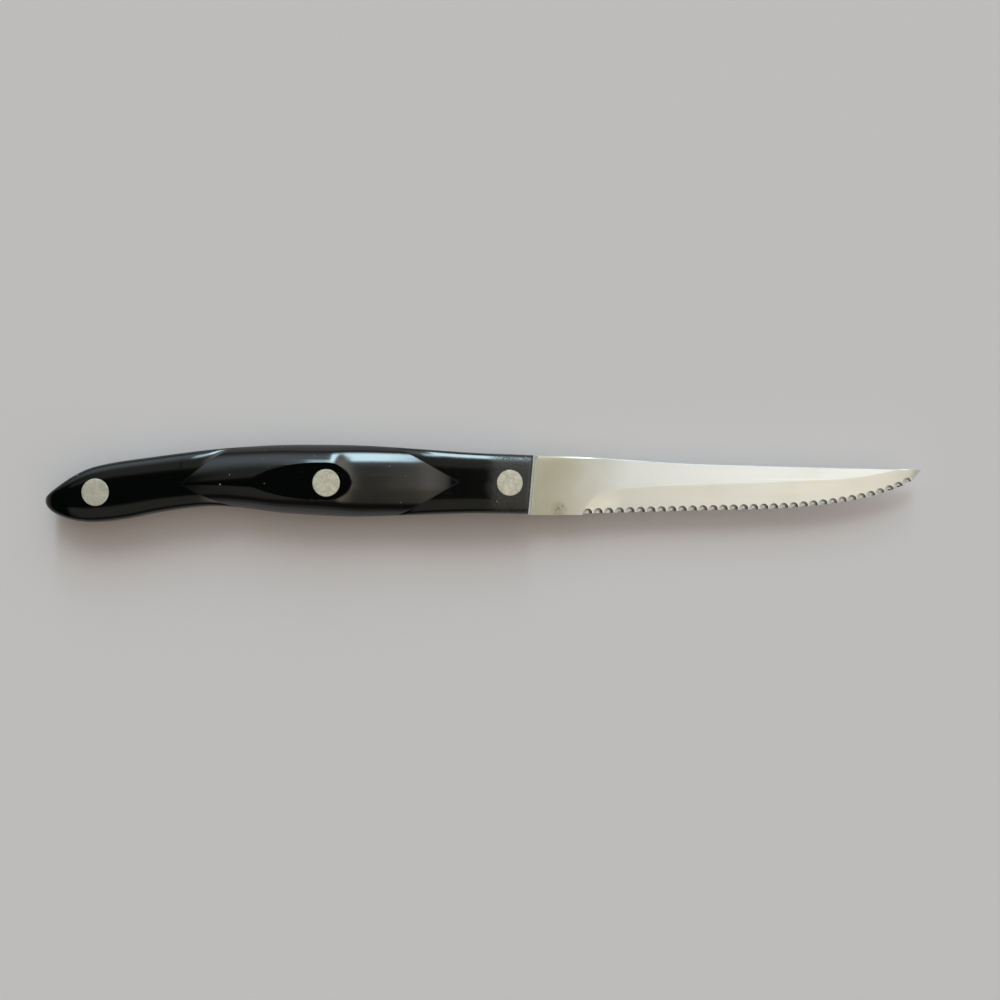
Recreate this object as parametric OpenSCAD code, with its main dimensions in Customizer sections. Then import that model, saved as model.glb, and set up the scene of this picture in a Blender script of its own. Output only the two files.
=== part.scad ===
// Steak knife: scalloped full-tang blade, two sculpted scales and three two-piece rivets.
// X runs from butt to tip, Y from edge to spine, Z up from the side that the knife lies on.

/* [Handle] */
// Length from the butt to the front of the scales, on the middle line
handle_len = 119; // [108:0.1:132]
// Height from the lowest point of the belly to the highest of the back
handle_h = 19; // [16:0.1:22]
// Length of the rounded butt, seen from the side
butt_round = 12.4; // [9:0.1:15]
// Length over which the faces roll down to the butt
butt_roll = 7; // [4:0.1:9]
// Lean of the scales' front ends from square, in degrees
front_lean = 5; // [0:0.5:10]

/* [Scales] */
// Thickness of each scale round the front rivet
front_t = 4.2; // [3.6:0.05:5]
// Thickness of each scale round the rear rivet
rear_t = 4.4; // [3.6:0.05:5]
// Thickness of each scale at the flat land of the middle rivet
land_t = 5.7; // [5.4:0.05:6.2]
// Thickness that the barrel's crest would reach without the land
barrel_t = 6.3; // [6.2:0.05:7]
// Straight side wall that each scale keeps above the tang
edge_wall = 1.5; // [0.8:0.05:2.5]
// Distance from the butt to the point of the rear V crease
rear_point = 33.6; // [28:0.1:38]
// Distance from the front of the scales to the point of the front V crease
front_point = 17.6; // [15:0.1:21]
// Length of the rear V crease
rear_vee = 13.8; // [10:0.1:16]
// Length of the front V crease
front_vee = 15.6; // [12:0.1:18]
// Step from the barrel down to the end sections, at the V points
crease_step = 0.12; // [0.04:0.01:0.3]
// Length over which the ridge behind the rear V point flattens out
ridge_run = 21; // [14:0.5:28]
// Rounding of the scales' front edges
front_round = 0.5; // [0.2:0.05:1]

/* [Rivets] */
// Distance from the butt to the rear rivet
rear_rivet_x = 12.8; // [12:0.1:16]
// Distance from the butt to the middle rivet
middle_rivet_x = 69.2; // [64:0.1:76]
// Distance from the front of the scales back to the front rivet
front_rivet_back = 5.2; // [4.6:0.1:8]
// Head diameter of the rear rivet
rear_head_d = 6.7; // [5.5:0.05:7.2]
// Head diameter of the middle rivet
middle_head_d = 6.7; // [5.5:0.05:7.2]
// Head diameter of the front rivet
front_head_d = 6.35; // [5.5:0.05:7.2]
// Outer diameter of the rivet tubes
tube_d = 4.2; // [3.6:0.05:5]
// Diameter of the rivet pins
pin_d = 2.8; // [2:0.05:3.2]
// Thickness of scale left under each rivet head
seat_t = 2; // [1.2:0.05:2.8]
// Gap round every rivet part
rivet_gap = 0.05; // [0.02:0.01:0.15]
// Gap left at the blind end of each tube and pin
end_gap = 0.4; // [0.2:0.05:0.8]

/* [Blade] */
// Length of the blade in front of the scales
blade_len = 96.3; // [80:0.1:115]
// Thickness of the tang and of the shoulder
stock_t = 1.6; // [1.2:0.05:2.2]
// Depth that each face of the blade is ground below the shoulder
face_relief = 0.08; // [0.04:0.01:0.15]
// Length of the shoulder that shows in front of the scales
shoulder = 0.7; // [0.3:0.05:1.5]
// Length of the plain heel in front of the scales
heel_len = 12.6; // [8:0.1:18]
// Depth of the heel below the front of the handle's belly
heel_drop = 0.3; // [0:0.05:1]
// Step from the heel up to the cutting edge
heel_step = 0.35; // [0.1:0.05:0.8]
// Fall of the spine from the scales to the tip
spine_drop = 3.5; // [1:0.1:5]
// Thickness of the cutting edge
edge_t = 0.3; // [0.2:0.05:0.5]
// Length over which the bevel runs out at the heel
plunge = 14; // [8:0.5:18]
// Part of that length that lies before the end of the heel
plunge_lead = 4; // [2:0.1:5]
// Width of the broken spine edge at the scales
spine_break = 0.9; // [0.4:0.05:1.4]
// Length over which the broken spine edge narrows
break_run = 17; // [8:0.5:30]
// Depth of the broken spine edge
break_depth = 0.12; // [0.06:0.01:0.3]

/* [Scallops] */
// Distance from one scallop to the next along the edge, at the heel
scallop_pitch = 2.6; // [2.2:0.02:3.2]
// Distance from one scallop to the next along the edge, at the tip
tip_pitch = 2.36; // [2.1:0.02:3]
// Radius of the ball-shaped scallops
scallop_r = 2; // [1.6:0.05:2.4]
// Depth of a scallop below the bevel, at the edge
scallop_depth = 0.36; // [0.2:0.01:0.4]
// Plain edge left at the tip
tip_land = 1.6; // [1:0.1:3]

/* [Hidden] */
$fn = 48;

// Overrun of every cut past the face that it leaves
overrun = 1;
// Height above the blade's face at which the bevel starts to run in
bevel_lift = 0.15;

steel = "#c9c8c0";
resin = "#141516";
nickel_silver = "#b9bbab";

// Outlines, as shares of the handle's length and height, from its middle height
back_shares = [[0, -0.03], [0.062, 0.137], [0.125, 0.25], [0.225, 0.345], [0.35, 0.442], [0.475, 0.494],
               [0.57, 0.5], [0.66, 0.487], [0.76, 0.449], [0.885, 0.395], [1, 0.364]];
belly_shares = [[0, -0.497], [0.103, -0.5], [0.165, -0.461], [0.227, -0.383], [0.288, -0.325],
                [0.351, -0.292], [0.412, -0.318], [0.475, -0.37], [0.55, -0.405], [0.636, -0.428],
                [0.72, -0.415], [0.8, -0.4], [0.885, -0.386], [1, -0.392]];
crest_shares = [[0, -0.214], [0.11, -0.113], [0.2, -0.05], [0.286, -0.009], [0.58, 0.005], [0.853, 0.017],
                [1, 0]];
nose_share = crest_shares[0][1];

// Rise of the barrel's crest from each V point to its top at the middle rivet
rear_rise_shares = [[0, 0], [0.15, 0.27], [0.3, 0.46], [0.6, 0.76], [0.85, 0.97], [1, 1]];
front_rise_shares = [[0, 0], [0.07, 0.012], [0.16, 0.077], [0.3, 0.22], [0.5, 0.4], [0.7, 0.575],
                     [0.8, 0.68], [0.86, 0.78], [0.92, 0.92], [0.96, 0.98], [1, 1]];

// Bow of each V crease, where 1 is straight and more swells its arms beyond the point
rear_vee_bow_share = 1.6;
front_vee_bow_share = 1.25;
// Squareness of the sections, where 2 is an ellipse: the end sections, the barrel and its ridge at the rear
end_square = 4;
barrel_square = 2.5;
ridge_square = 1.75;
// How much of a half section the barrel takes up
arch_share = 0.97;
// Widths between which the mesh lines follow a crease, the width that they open to beyond it
// and the part of its length over which they close again
crease_low_share = 0.03;
crease_high_share = 0.97;
open_share = 0.5;
sweep_share = 0.35;
// Part of the handle from which the sections begin to lean
lean_start_share = 0.86;

// Blade outlines along the blade: the fall of the spine, the rise of the edge and the height of the grind
spine_shares = [[0, 0], [0.13, 0.12], [0.28, 0.37], [0.35, 0.52], [0.46, 0.64], [0.6, 0.75], [0.77, 0.87],
                [1, 1]];
edge_shares = [[0, 0], [0.3, 0.062], [0.58, 0.12], [0.68, 0.18], [0.77, 0.268], [0.85, 0.392],
               [0.92, 0.56], [0.97, 0.74], [1, 1]];
grind_shares = [[0, 0.29], [0.055, 0.385], [0.158, 0.443], [0.34, 0.498], [0.52, 0.526], [0.675, 0.573],
                [0.755, 0.59], [0.81, 0.62], [0.876, 0.687], [0.93, 0.755], [1, 0.85]];
break_end_share = 0.18;
// Place of the first scallop past the heel, as a share of the pitch
lead_share = 0.58;

// Mesh steps along each stretch
butt_steps = 9;
plate_steps = 7;
vee_steps = 9;
barrel_steps = 18;
round_steps = 3;
inner_steps = 8;
outer_steps = 5;
plunge_steps = 8;
blade_steps = 24;
slope_step_share = 0.001;

// A smooth curve through a table of points, with the slope at each from its neighbours
function seek(t, u, i = 0) = i >= len(t) - 2 || u < t[i + 1][0] ? i : seek(t, u, i + 1);
function slope(t, i) =
    let (a = max(i - 1, 0), b = min(i + 1, len(t) - 1)) (t[b][1] - t[a][1]) / (t[b][0] - t[a][0]);
function curve(t, u) =
    let (i = seek(t, u), d = t[i + 1][0] - t[i][0], s = (u - t[i][0]) / d)
    t[i][1] * (1 - s) * (1 - s) * (1 + 2 * s) + t[i + 1][1] * s * s * (3 - 2 * s)
    + d * s * (1 - s) * (slope(t, i) * (1 - s) - slope(t, i + 1) * s);
function round_off(s) = s >= 1 ? 1 : s <= 0 ? 0 : sqrt(1 - (1 - s) * (1 - s));
function ease(s) = s >= 1 ? 1 : s <= 0 ? 0 : s * s * (3 - 2 * s);

// Handle outline at a distance x from the butt
function nose_to(x, share) = handle_h * (nose_share + (share - nose_share) * round_off(x / butt_round));
function back(x) = nose_to(x, curve(back_shares, x / handle_len));
function belly(x) = nose_to(x, curve(belly_shares, x / handle_len));
function crest(x) = handle_h * curve(crest_shares, x / handle_len);
function across(x, v) = crest(x) + v * (v > 0 ? back(x) - crest(x) : crest(x) - belly(x));
function lean(x, y) =
    tan(front_lean) * y * max(0, (x / handle_len - lean_start_share) / (1 - lean_start_share));
function front_x(y) = handle_len + lean(handle_len, y);

// Heights above the middle of the tang
tang_z = stock_t / 2;
wall_z = tang_z + edge_wall;
land_z = tang_z + land_t;
seat_z = tang_z + seat_t;
front_point_x = handle_len - front_point;
sweep = sweep_share * rear_vee;

// Share of the half height at which the crease between an end section and the barrel lies
function vee_arm(d, bow) = d >= 1 ? 1 : d <= 0 ? 0 : 1 - pow(1 - d, bow);
function vee(x) =
    min(vee_arm((x - rear_point) / rear_vee, rear_vee_bow_share),
        vee_arm((front_point_x - x) / front_vee, front_vee_bow_share));

// The barrel: a rounded arch on a crest that rises from both V points, with a ridge at the rear one
function crest_rise(x) = x < middle_rivet_x
    ? curve(rear_rise_shares, (x - rear_point) / (middle_rivet_x - rear_point))
    : curve(front_rise_shares, (front_point_x - x) / (front_point_x - middle_rivet_x));
function crest_z(x) =
    let (low = crease_step + (x < middle_rivet_x ? rear_t : front_t))
    tang_z + low + (barrel_t - low) * crest_rise(x);
function square_at(x) = ridge_square + (barrel_square - ridge_square) * ease((x - rear_point) / ridge_run);
function superellipse(v, square) = pow(max(0, 1 - pow(abs(v), square)), 1 / square);
function arch_foot(x) = superellipse(arch_share, square_at(x));
function arch(x, v) = (superellipse(arch_share * v, square_at(x)) - arch_foot(x)) / (1 - arch_foot(x));
function barrel(x, v) = wall_z + (crest_z(x) - wall_z) * arch(x, v);

// The end sections: flat faces with rounded edges, drawn down along each V to a step below the barrel
function flat(v) = superellipse(v, end_square);
function step_down(v) = crease_step * (1 - v * v);
function end_z(x) = x < middle_rivet_x
    ? wall_z + (tang_z + rear_t - wall_z) * round_off(x / butt_roll)
    : tang_z + front_t - front_round * (1 - round_off((handle_len - x) / front_round));
function plate_z(x) =
    let (w = vee(x)) w == 0 ? end_z(x) : wall_z + (barrel(x, w) - step_down(w) - wall_z) / flat(w);
function plate(x, v) = wall_z + (plate_z(x) - wall_z) * flat(v);

// Height of a scale's outer face at x, and at v of the way from the crest line to the back or belly
function face_z(x, v) =
    min(land_z, vee(x) >= crease_high_share || abs(v) < vee(x) ? barrel(x, v) : plate(x, v));

// Stations along the scale, closer together at the butt, along the creases and at the front edge
function run(a, b, n) = [for (i = [1:n]) a + (b - a) * i / n];
function run_slow(a, b, n) = [for (i = [1:n]) a + (b - a) * (i / n) * (i / n)];
function run_fast(a, b, n) = [for (i = [1:n]) b - (b - a) * (1 - i / n) * (1 - i / n)];
stations = concat(
    [for (i = [1:2:2 * butt_steps]) butt_round * (1 - cos(45 * i / butt_steps))],
    [butt_round],
    run(butt_round, rear_point, plate_steps),
    run_slow(rear_point, rear_point + rear_vee, vee_steps),
    run(rear_point + rear_vee, front_point_x - front_vee, barrel_steps),
    run_fast(front_point_x - front_vee, front_point_x, vee_steps),
    run(front_point_x, handle_len - front_round, plate_steps),
    run_fast(handle_len - front_round, handle_len, round_steps));

// Share of the half height at which the barrel is cut off by the land
function land_half(x) =
    crest_z(x) <= land_z ? 0
    : let (foot = arch_foot(x), level = foot + (1 - foot) * (land_z - wall_z) / (crest_z(x) - wall_z))
      superellipse(level, square_at(x)) / arch_share;

// Mesh line that follows both creases and the land's edge, and opens out again beyond the V points
function opened(d) = crease_low_share + (open_share - crease_low_share) * ease(d);
function closed(d) = crease_high_share * ease(1 - d);
function crease_line(x) =
    x < rear_point ? opened((rear_point - x) / rear_vee)
    : x > front_point_x ? opened((x - front_point_x) / front_vee)
    : vee(x) < crease_high_share ? max(crease_low_share, vee(x))
    : max(crease_low_share, land_half(x), closed((x - rear_point - rear_vee) / sweep),
          closed((front_point_x - front_vee - x) / sweep));
half_section = [
    for (x = stations) let (c = crease_line(x)) concat(
        [for (j = [0:outer_steps - 1]) c + (1 - c) * cos(90 * j / outer_steps)],
        [for (j = [0:inner_steps - 1]) c * cos(90 * j / inner_steps)])];
function widths(i) =
    let (half = half_section[i]) concat(half, [0], [for (j = [len(half) - 1:-1:0]) -half[j]]);

// Y of the middle of the whole knife's height
mid_y = (max([for (x = stations) back(x)]) + min([for (x = stations) belly(x)])) / 2;
mid_x = (handle_len + blade_len) / 2;

function face_point(x, v) = let (y = across(x, v)) [x + lean(x, y), y, face_z(x, v)];
function foot_point(x, v) = let (y = across(x, v)) [x + lean(x, y), y, tang_z];
function section(i) = let (x = stations[i]) concat(
    [foot_point(x, 1)], [for (v = widths(i)) face_point(x, v)], [foot_point(x, -1)]);

// A closed solid through a row of sections that have the same number of points
module loft(sections) {
    n = len(sections[0]);
    last = len(sections) - 1;
    polyhedron(
        points = [for (s = sections, p = s) p],
        faces = concat(
            [[for (j = [0:n - 1]) j]],
            [for (i = [0:last - 1], j = [0:n - 1])
                let (k = (j + 1) % n, a = i * n, b = a + n) [a + k, a + j, b + j]],
            [for (i = [0:last - 1], j = [0:n - 1])
                let (k = (j + 1) % n, a = i * n, b = a + n) [a + k, b + j, b + k]],
            [[for (j = [n - 1:-1:0]) last * n + j]]));
}

// Puts the knife's middle over the origin with its lower land on the ground
module seated() {
    translate([-mid_x, -mid_y, land_z]) children();
}

// Rivets: place along the handle and head size, front to rear
front_rivet = [handle_len - front_rivet_back, front_head_d];
middle_rivet = [middle_rivet_x, middle_head_d];
rear_rivet = [rear_rivet_x, rear_head_d];
rivets = [front_rivet, middle_rivet, rear_rivet];

module at_rivet(rivet) {
    translate([rivet[0], crest(rivet[0]), 0]) children();
}

module shank_holes(bottom, top) {
    for (r = rivets) at_rivet(r) translate([0, 0, bottom])
        cylinder(d = tube_d + 2 * rivet_gap, h = top - bottom);
}

module scale_body() {
    difference() {
        loft([for (i = [0:len(stations) - 1]) section(i)]);
        shank_holes(0, land_z);
        for (r = rivets) at_rivet(r) translate([0, 0, seat_z])
            cylinder(d = r[1] + 2 * rivet_gap, h = land_z + overrun - seat_z);
    }
}

// Male half: its head lies in the right scale and its pin is pressed into the tube
module rivet_pin(rivet) {
    head_z = face_z(rivet[0], 0);
    color(nickel_silver) seated() at_rivet(rivet) {
        translate([0, 0, seat_z]) cylinder(d = rivet[1], h = head_z - seat_z);
        translate([0, 0, -seat_z + end_gap]) cylinder(d = pin_d, h = 2 * seat_z - end_gap);
    }
}

// Female half: its head lies in the left scale and its tube goes through the tang
module rivet_tube(rivet) {
    head_z = face_z(rivet[0], 0);
    color(nickel_silver) seated() at_rivet(rivet) difference() {
        union() {
            translate([0, 0, -head_z]) cylinder(d = rivet[1], h = head_z - seat_z);
            translate([0, 0, -seat_z]) cylinder(d = tube_d, h = 2 * seat_z - end_gap);
        }
        translate([0, 0, -seat_z]) cylinder(d = pin_d + 2 * rivet_gap, h = 2 * seat_z + overrun);
    }
}

module right_scale() {
    color(resin) seated() scale_body();
}

module left_scale() {
    color(resin) seated() mirror([0, 0, 1]) scale_body();
}

// Blade outline at a distance x from the butt
tip_x = handle_len + blade_len;
heel_x = handle_len + heel_len;
face_half = tang_z - face_relief;
spine_start_y = back(handle_len);
heel_y = belly(handle_len) - heel_drop;
edge_start_y = heel_y + heel_step;
tip_y = spine_start_y - spine_drop;
heel_h = spine_start_y - edge_start_y;
function along_edge(x) = (x - heel_x) / (tip_x - heel_x);
function spine_y(x) = spine_start_y - spine_drop * curve(spine_shares, (x - handle_len) / blade_len);
function edge_y(x) = edge_start_y + (tip_y - edge_start_y) * curve(edge_shares, along_edge(x));
function grind_y(x) = edge_start_y + heel_h * curve(grind_shares, along_edge(x));
function edge_angle(x) =
    let (d = slope_step_share * blade_len) atan((edge_y(x + d) - edge_y(x - d)) / (2 * d));

// Stations along the edge past the plunge
plunge_x = heel_x - plunge_lead;
edge_runs = run_fast(plunge_x + plunge, tip_x, blade_steps);

module tang_outline() {
    polygon(concat(
        [for (x = stations) [x + lean(x, back(x)), back(x)]],
        [[front_x(spine_start_y) + shoulder, spine_start_y], [front_x(heel_y) + shoulder, heel_y],
         [front_x(heel_y), heel_y]],
        [for (i = [len(stations) - 1:-1:0]) let (x = stations[i]) [x + lean(x, belly(x)), belly(x)]]));
}

module blade_outline() {
    start = front_x(spine_start_y) + shoulder / 2;
    xs = concat(run(heel_x, plunge_x + plunge, plunge_steps), edge_runs);
    polygon(concat(
        [for (x = concat([start], run(start, tip_x, blade_steps))) [x, spine_y(x)]],
        [for (i = [len(xs) - 2:-1:0]) [xs[i], edge_y(xs[i])]],
        [[heel_x, edge_start_y], [heel_x, heel_y], [front_x(heel_y) + shoulder / 2, heel_y]]));
}

// How far the bevel still is from its full depth, and the half thickness of the edge that follows from it
function run_in(x) = 1 - ease((x - plunge_x) / plunge);
function edge_half(x) = edge_t / 2 + (face_half + bevel_lift - edge_t / 2) * run_in(x);

// Section of a flat grind that passes through an inner and an outer point, past both, on the side of dir
function grind_section(x, y1, z1, y2, z2) =
    let (dir = sign(y2 - y1), fall = (z2 - z1) / (y2 - y1), over = dir * overrun)
    [[x, y1 - over, z1 - fall * over], [x, y2 + over, z2 + fall * over], [x, y2 + over, z1 + overrun],
     [x, y1 - over, z1 + overrun]];

module bevel() {
    xs = concat([plunge_x], run(plunge_x, plunge_x + plunge, plunge_steps), edge_runs, [tip_x + overrun]);
    loft([for (i = [len(xs) - 1:-1:0])
        let (x = xs[i], q = min(x, tip_x))
        grind_section(x, grind_y(q), face_half + bevel_lift * run_in(q), edge_y(q), edge_half(q))]);
}

module spine_edge_break() {
    start = front_x(spine_start_y) + shoulder;
    xs = concat([start], run(start, tip_x, blade_steps), [tip_x + overrun]);
    loft([for (x = xs)
        let (q = min(x, tip_x), narrowed = ease((q - handle_len) / break_run),
             w = spine_break * (1 - (1 - break_end_share) * narrowed))
        grind_section(x, spine_y(q) - w, face_half, spine_y(q), face_half - break_depth)]);
}

// Scallops ground into the right face of the edge, which crowd a little towards the tip
function pitch_at(x) = scallop_pitch + (tip_pitch - scallop_pitch) * ease(along_edge(x));
function scallop_places(x) =
    x > tip_x - tip_land ? [] : concat([x], scallop_places(x + pitch_at(x) * cos(edge_angle(x))));
module scallops() {
    for (x = scallop_places(heel_x + lead_share * scallop_pitch))
        translate([x, edge_y(x), edge_half(x) + scallop_r - scallop_depth]) sphere(r = scallop_r);
}

// Blank as it is stamped, with the rivet holes
module blank() {
    difference() {
        union() {
            linear_extrude(height = stock_t, center = true) tang_outline();
            linear_extrude(height = 2 * face_half, center = true) blade_outline();
        }
        shank_holes(-tang_z - overrun, tang_z + overrun);
    }
}

// Blank with both bevels ground
module ground_blank() {
    difference() {
        blank();
        bevel();
        mirror([0, 0, 1]) bevel();
    }
}

// Ground blank with both edges of its spine broken
module broken_blank() {
    difference() {
        ground_blank();
        spine_edge_break();
        mirror([0, 0, 1]) spine_edge_break();
    }
}

module blade() {
    color(steel) seated() difference() {
        broken_blank();
        scallops();
    }
}

blade();
right_scale();
left_scale();
rivet_tube(front_rivet);  // front_rivet_tube
rivet_pin(front_rivet);  // front_rivet_pin
rivet_tube(middle_rivet);  // middle_rivet_tube
rivet_pin(middle_rivet);  // middle_rivet_pin
rivet_tube(rear_rivet);  // rear_rivet_tube
rivet_pin(rear_rivet);  // rear_rivet_pin
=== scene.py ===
"""A steak knife on a plain pale floor: scalloped full-tang blade, sculpted black scales and flush rivets.

Forms are worked out in millimetres, with x from the butt, y from the middle of the handle's height and
z from the middle of the blade's thickness. Seat turns them into the frame's metres.
"""
import logging
import math
from dataclasses import dataclass, field
from enum import Enum

import bmesh
import bpy
import numpy as np
from bpy.types import Material, Mesh, Node, NodeSocket, NodeTree, Object
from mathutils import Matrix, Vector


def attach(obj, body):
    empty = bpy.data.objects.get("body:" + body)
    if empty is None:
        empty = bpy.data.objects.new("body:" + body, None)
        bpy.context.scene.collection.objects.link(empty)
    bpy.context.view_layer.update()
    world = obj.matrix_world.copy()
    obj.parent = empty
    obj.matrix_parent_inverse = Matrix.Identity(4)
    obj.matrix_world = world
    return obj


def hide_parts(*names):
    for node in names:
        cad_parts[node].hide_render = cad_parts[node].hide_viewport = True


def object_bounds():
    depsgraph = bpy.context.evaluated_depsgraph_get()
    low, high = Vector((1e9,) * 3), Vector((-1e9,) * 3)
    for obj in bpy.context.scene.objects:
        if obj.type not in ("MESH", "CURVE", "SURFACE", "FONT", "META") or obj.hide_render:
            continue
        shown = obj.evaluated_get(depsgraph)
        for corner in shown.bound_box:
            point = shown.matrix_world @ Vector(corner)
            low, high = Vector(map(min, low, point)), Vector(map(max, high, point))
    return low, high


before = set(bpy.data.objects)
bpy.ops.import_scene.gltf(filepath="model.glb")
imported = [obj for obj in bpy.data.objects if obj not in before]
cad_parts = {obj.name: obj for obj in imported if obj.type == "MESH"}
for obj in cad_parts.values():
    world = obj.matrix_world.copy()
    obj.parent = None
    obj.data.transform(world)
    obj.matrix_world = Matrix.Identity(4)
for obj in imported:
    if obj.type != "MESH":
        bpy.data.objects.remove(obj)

CAD_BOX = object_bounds()
LOG = logging.getLogger("steak_knife")
MM = 0.001
# Points closer together than this become one.
WELD = 0.0005 * MM
# Most values of a noise texture lie in this span.
NOISE_SPAN = (0.3, 0.7)
BODY = "root"

Array = np.ndarray
Table = tuple[tuple[float, float], ...]


class Side(Enum):
    """Face of the knife, with the sign of z on that side."""

    RIGHT = 1
    LEFT = -1


class RivetHalf(Enum):
    """The two halves of a cutler's rivet: the pin's head lies on the right, the tube's on the left."""

    PIN = Side.RIGHT
    TUBE = Side.LEFT


class RivetPlace(Enum):
    """Where a rivet sits along the handle."""

    FRONT = "front"
    MIDDLE = "middle"
    REAR = "rear"


class Slot(Enum):
    """Material slots of the record."""

    STEEL = "blade_steel"
    RESIN = "scale_resin"
    RIVET = "rivet_metal"


def curve(table: Table, u: Array) -> Array:
    """Smooth curve through a table of points.

    Between neighbouring points it is a cubic Hermite piece, whose slope at each point is that of the chord
    between the points beside it.

    Args:
        table: Pairs of place and value, in rising order of place.
        u: Places at which the curve is wanted.
    Returns:
        The values there.
    """
    places, values = np.array(table).T
    last = len(places) - 1
    before = np.maximum(np.arange(last + 1) - 1, 0)
    after = np.minimum(np.arange(last + 1) + 1, last)
    slopes = (values[after] - values[before]) / (places[after] - places[before])
    i = np.clip(np.searchsorted(places, u, side="right") - 1, 0, last - 1)
    d = places[i + 1] - places[i]
    s = (u - places[i]) / d
    ends = values[i] * (1 - s) ** 2 * (1 + 2 * s) + values[i + 1] * s ** 2 * (3 - 2 * s)
    return ends + d * s * (1 - s) * (slopes[i] * (1 - s) - slopes[i + 1] * s)


def ease(s: Array) -> Array:
    """Smooth step from 0 to 1: three s squared less two s cubed, held outside that range."""
    s = np.clip(s, 0, 1)
    return s * s * (3 - 2 * s)


def round_off(s: Array) -> Array:
    """Quarter circle from 0 to 1: the root of one less the square of what is left, held outside it."""
    return np.sqrt(1 - (1 - np.clip(s, 0, 1)) ** 2)


def run(start: float, end: float, steps: int, power: float = 1) -> Array:
    """Places from just after start up to end.

    Each place is start plus the length times a share raised to a power, so a power above 1 crowds the start
    and a negative one crowds the end in the same way.
    """
    share = np.arange(1, steps + 1) / steps
    return start + (end - start) * (share ** power if power > 0 else 1 - (1 - share) ** -power)


@dataclass(frozen=True)
class HandleForm:
    """The sculpted handle: outline, V creases, barrel and land, as functions of x, y and v.

    v runs from -1 at the belly through 0 on the crest line to 1 at the back.
    """

    length: float = 119.0
    height: float = 19.0
    butt_round: float = 12.4
    butt_roll: float = 7.0
    front_lean: float = 5.0
    front_t: float = 4.2
    rear_t: float = 4.4
    land_t: float = 5.7
    barrel_t: float = 6.3
    edge_wall: float = 1.5
    rear_point: float = 33.6
    front_point: float = 17.6
    rear_vee: float = 13.8
    front_vee: float = 15.6
    front_round: float = 0.5
    barrel_top: float = 69.2
    stock_t: float = 1.6
    back_shares: Table = (
        (0, -0.03), (0.062, 0.137), (0.125, 0.25), (0.225, 0.345), (0.35, 0.442), (0.475, 0.494),
        (0.57, 0.5), (0.66, 0.487), (0.76, 0.449), (0.885, 0.395), (1, 0.364))
    belly_shares: Table = (
        (0, -0.497), (0.103, -0.5), (0.165, -0.461), (0.227, -0.383), (0.288, -0.325), (0.351, -0.292),
        (0.412, -0.318), (0.475, -0.37), (0.55, -0.405), (0.636, -0.428), (0.72, -0.415), (0.8, -0.4),
        (0.885, -0.386), (1, -0.392))
    crest_shares: Table = (
        (0, -0.214), (0.11, -0.113), (0.2, -0.05), (0.286, -0.009), (0.58, 0.005), (0.853, 0.017), (1, 0))
    rear_rise_shares: Table = ((0, 0), (0.15, 0.27), (0.3, 0.46), (0.6, 0.76), (0.85, 0.97), (1, 1))
    front_rise_shares: Table = (
        (0, 0), (0.07, 0.012), (0.16, 0.077), (0.3, 0.22), (0.5, 0.4), (0.7, 0.575), (0.8, 0.68),
        (0.86, 0.78), (0.92, 0.92), (0.96, 0.98), (1, 1))
    rear_vee_bow: float = 1.6
    front_vee_bow: float = 1.25
    plate_square: float = 4.0
    arch_share: float = 0.97
    arch_square: float = 2.5
    ridge_square: float = 1.75
    ridge_run: float = 21.0
    crease_step: float = 0.12
    crease_run: float = 0.2
    crease_low: float = 0.03
    crease_high: float = 0.97
    crease_open: float = 0.5
    sweep_share: float = 0.75
    lean_start: float = 0.86
    butt_start: float = 5.0

    @property
    def tang_z(self) -> float:
        """Height of the tang's face."""
        return self.stock_t / 2

    @property
    def wall_z(self) -> float:
        """Height of the top of the straight side wall."""
        return self.tang_z + self.edge_wall

    @property
    def land_z(self) -> float:
        """Height of the flat land, the highest part of the handle."""
        return self.tang_z + self.land_t

    @property
    def front_point_x(self) -> float:
        """Place of the front V's point."""
        return self.length - self.front_point

    def nose_to(self, x: Array, shares: Table) -> Array:
        """Outline that rounds off to the nose: a quarter circle times the table's curve, from the nose up."""
        nose = self.crest_shares[0][1]
        return self.height * (nose + (curve(shares, x / self.length) - nose) * round_off(x / self.butt_round))

    def back(self, x: Array) -> Array:
        """Height of the back at x."""
        return self.nose_to(x, self.back_shares)

    def belly(self, x: Array) -> Array:
        """Height of the belly at x."""
        return self.nose_to(x, self.belly_shares)

    def crest(self, x: Array) -> Array:
        """Height of the crest line at x."""
        return self.height * curve(self.crest_shares, x / self.length)

    def across(self, x: Array, v: Array) -> Array:
        """y at v: the crest plus v times the way to the back, or to the belly where v is negative."""
        crest = self.crest(x)
        return crest + v * np.where(v > 0, self.back(x) - crest, crest - self.belly(x))

    def shear(self, y: Array) -> Array:
        """Shift along x of the scales' front end at height y: y times the tangent of its lean."""
        return math.tan(math.radians(self.front_lean)) * y

    def lean(self, x: Array, y: Array) -> Array:
        """Shift along x at (x, y), which grows in a straight line to the front end's own shift."""
        return self.shear(y) * np.maximum(0, (x / self.length - self.lean_start) / (1 - self.lean_start))

    def front_x(self, y: Array) -> Array:
        """x of the scales' front end at height y."""
        return self.length + self.shear(y)

    def upright(self, x: Array, y: Array) -> Array:
        """x before the lean: the inverse of x plus lean(x, y) at a fixed y."""
        rate = self.shear(y) / (1 - self.lean_start)
        return np.where(x < self.lean_start * self.length, x,
                        (x + rate * self.lean_start) / (1 + rate / self.length))

    def vee(self, x: Array) -> Array:
        """v of the crease: 1 less a power of what is left of each V's length, and 1 between their ends."""
        rear = 1 - np.clip((x - self.rear_point) / self.rear_vee, 0, 1)
        front = 1 - np.clip((self.front_point_x - x) / self.front_vee, 0, 1)
        return 1 - np.maximum(rear ** self.rear_vee_bow, front ** self.front_vee_bow)

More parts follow.
